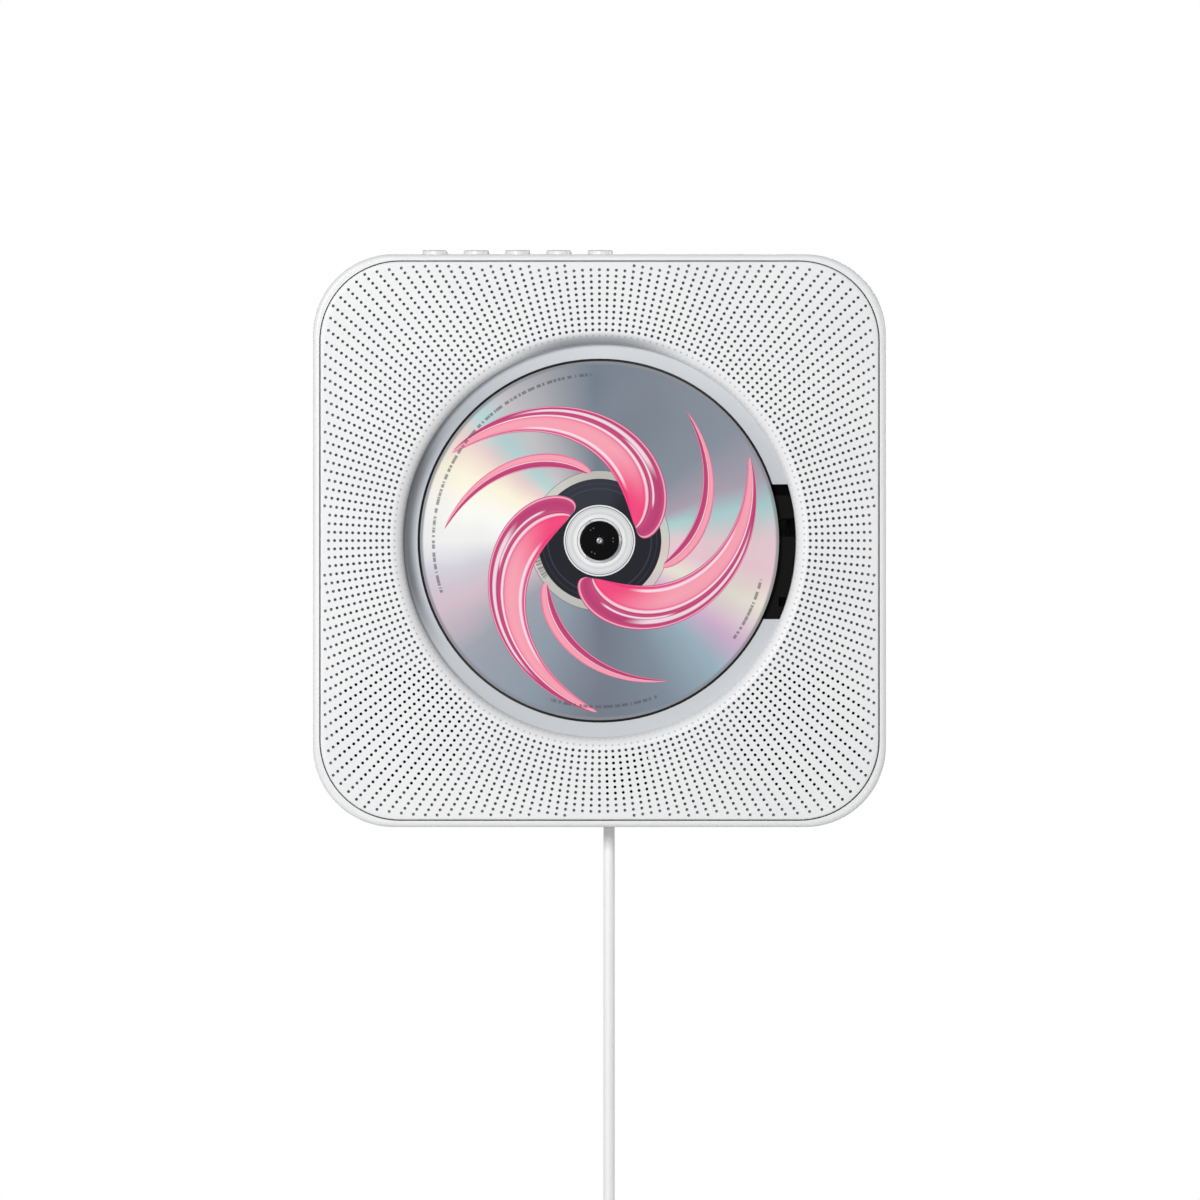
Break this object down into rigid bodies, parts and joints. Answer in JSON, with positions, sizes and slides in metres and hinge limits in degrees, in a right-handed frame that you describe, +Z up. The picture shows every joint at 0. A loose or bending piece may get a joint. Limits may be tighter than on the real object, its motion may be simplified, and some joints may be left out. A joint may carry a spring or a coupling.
{
  "type": "wall mounted disc player",
  "caption": "Square wall mounted disc player with an open disc well, a perforated front, push keys on top and a pull cord below.",
  "frame": {"origin": "middle of the bracket's two screw holes, on the wall's face", "axes": "+Y into the wall, +X to the right as seen from the front, +Z up"},
  "size_m": [0.191, 0.044, 0.427],
  "materials": {
    "white_plastic": "fine satin moulded",
    "ivory_plastic": "satin moulded",
    "black_plastic": "satin moulded",
    "gloss_black": "polished",
    "dark_window": "tinted",
    "key_plastic": "satin moulded",
    "disc_plastic": "printed over a mirror layer",
    "steel": "zinc plated",
    "bright_steel": "polished",
    "magnet": "sintered, plain",
    "rubber": "matt",
    "mat_rubber": "matt",
    "cloth": "open weave",
    "board": "lacquered",
    "cone_paper": "pressed paper",
    "lens_glass": "coated",
    "cord_rubber": "smooth",
    "lead": "smooth",
    "ribbon": "smooth",
    "tie": "woven",
    "slider_red": "satin moulded"
  },
  "bodies": {
    "bracket": {"wall_plate": "white_plastic"},
    "player": {"rear_cover": "white_plastic", "side_frame": "white_plastic", "front_panel": "white_plastic", "disc_well": "white_plastic", "bumper_pads": "rubber", "case_screws": "steel", "small_screws": "steel", "deck_frame": "black_plastic", "deck_dampers": "rubber", "spindle_motor": "steel", "sled_motor": "steel", "guide_rods": "bright_steel", "gear_pin": "bright_steel", "limit_switch": "black_plastic", "speaker_baskets": "black_plastic", "speaker_magnets": "magnet", "speaker_cloths": "cloth", "main_board": "board", "board_parts": "black_plastic", "key_board": "board", "key_switches": "black_plastic", "data_socket": "steel", "aux_jack": "black_plastic", "headphone_jack": "black_plastic", "switch_housing": "ivory_plastic", "switch_lid": "ivory_plastic", "pull_spring": "bright_steel", "power_switch": "black_plastic", "cord_bushing": "white_plastic", "ir_receiver": "dark_window", "ir_window": "dark_window", "speaker_leads": "lead", "deck_ribbon": "ribbon"},
    "turntable": {"turntable": "white_plastic", "turntable_mat": "mat_rubber", "hub_cap": "gloss_black", "spindle": "bright_steel"},
    "catch_ball_1": {"ball_1": "bright_steel"},
    "catch_ball_2": {"ball_2": "bright_steel"},
    "catch_ball_3": {"ball_3": "bright_steel"},
    "disc": {"disc": "disc_plastic"},
    "pickup": {"pickup_body": "black_plastic"},
    "lens": {"lens_holder": "black_plastic", "lens": "lens_glass"},
    "drive_gear": {"drive_gear": "ivory_plastic"},
    "motor_pinion": {"motor_pinion": "ivory_plastic"},
    "left_cone": {"left_cone": "cone_paper"},
    "right_cone": {"right_cone": "cone_paper"},
    "pull_switch": {"pull_slider": "slider_red", "cord": "cord_rubber", "cord_coil": "cord_rubber", "coil_tie": "tie", "plug": "white_plastic", "plug_shell": "steel"},
    "key_1": {"key_1": "key_plastic"},
    "key_2": {"key_2": "key_plastic"},
    "key_3": {"key_3": "key_plastic"},
    "key_4": {"key_4": "key_plastic"},
    "key_5": {"key_5": "key_plastic"}
  },
  "joints": [
    {"name": "player_lift", "type": "slide", "parent": "bracket", "child": "player", "axis": [0, 0, 1], "range_m": [0, 0.01]},
    {"name": "key_1_press", "type": "slide", "parent": "player", "child": "key_1", "axis": [0, 0, -1], "range_m": [0, 0.0009], "stiffness_N_per_m": 800, "springref_m": -0.0008},
    {"name": "key_2_press", "type": "slide", "parent": "player", "child": "key_2", "axis": [0, 0, -1], "range_m": [0, 0.0009], "stiffness_N_per_m": 800, "springref_m": -0.0008},
    {"name": "key_3_press", "type": "slide", "parent": "player", "child": "key_3", "axis": [0, 0, -1], "range_m": [0, 0.0009], "stiffness_N_per_m": 800, "springref_m": -0.0008},
    {"name": "key_4_press", "type": "slide", "parent": "player", "child": "key_4", "axis": [0, 0, -1], "range_m": [0, 0.0009], "stiffness_N_per_m": 800, "springref_m": -0.0008},
    {"name": "key_5_press", "type": "slide", "parent": "player", "child": "key_5", "axis": [0, 0, -1], "range_m": [0, 0.0009], "stiffness_N_per_m": 800, "springref_m": -0.0008},
    {"name": "turntable_spin", "type": "hinge", "parent": "player", "child": "turntable", "pos_m": [0, -0.0374, -0.038], "axis": [0, -1, 0], "continuous": true},
    {"name": "ball_1_catch", "type": "slide", "parent": "turntable", "child": "catch_ball_1", "axis": [-0.9986, 0, -0.0523], "range_m": [0, 0.0005], "stiffness_N_per_m": 500, "springref_m": -0.0004},
    {"name": "ball_2_catch", "type": "slide", "parent": "turntable", "child": "catch_ball_2", "axis": [0.5446, 0, -0.8387], "range_m": [0, 0.0005], "stiffness_N_per_m": 500, "springref_m": -0.0004},
    {"name": "ball_3_catch", "type": "slide", "parent": "turntable", "child": "catch_ball_3", "axis": [0.454, 0, 0.891], "range_m": [0, 0.0005], "stiffness_N_per_m": 500, "springref_m": -0.0004},
    {"name": "disc_lift", "type": "slide", "parent": "turntable", "child": "disc", "axis": [0, -1, 0], "range_m": [0, 0.025]},
    {"name": "pickup_slide", "type": "slide", "parent": "player", "child": "pickup", "axis": [1, 0, 0], "range_m": [0, 0.0345]},
    {"name": "lens_focus", "type": "slide", "parent": "pickup", "child": "lens", "axis": [0, -1, 0], "range_m": [-0.0005, 0.0005], "stiffness_N_per_m": 20},
    {"name": "drive_gear_spin", "type": "hinge", "parent": "player", "child": "drive_gear", "pos_m": [0.024, -0.017, -0.058], "axis": [0, -1, 0], "range_deg": [-440, 0]},
    {"name": "motor_pinion_spin", "type": "hinge", "parent": "player", "child": "motor_pinion", "pos_m": [0.024, -0.017, -0.0712], "axis": [0, -1, 0], "range_deg": [0, 1175]},
    {"name": "left_cone_move", "type": "slide", "parent": "player", "child": "left_cone", "axis": [0, -1, 0], "range_m": [-0.001, 0.001], "stiffness_N_per_m": 1500},
    {"name": "right_cone_move", "type": "slide", "parent": "player", "child": "right_cone", "axis": [0, -1, 0], "range_m": [-0.001, 0.001], "stiffness_N_per_m": 1500},
    {"name": "pull_cord", "type": "slide", "parent": "player", "child": "pull_switch", "axis": [0, 0, -1], "range_m": [0, 0.004], "stiffness_N_per_m": 1000, "springref_m": -0.0015, "deforming": ["pull_spring"]}
  ],
  "couplings": [
    {"joint": "drive_gear_spin", "follows": "pickup_slide", "rad_per_m": -222.22},
    {"joint": "motor_pinion_spin", "follows": "pickup_slide", "rad_per_m": 592.59}
  ]
}
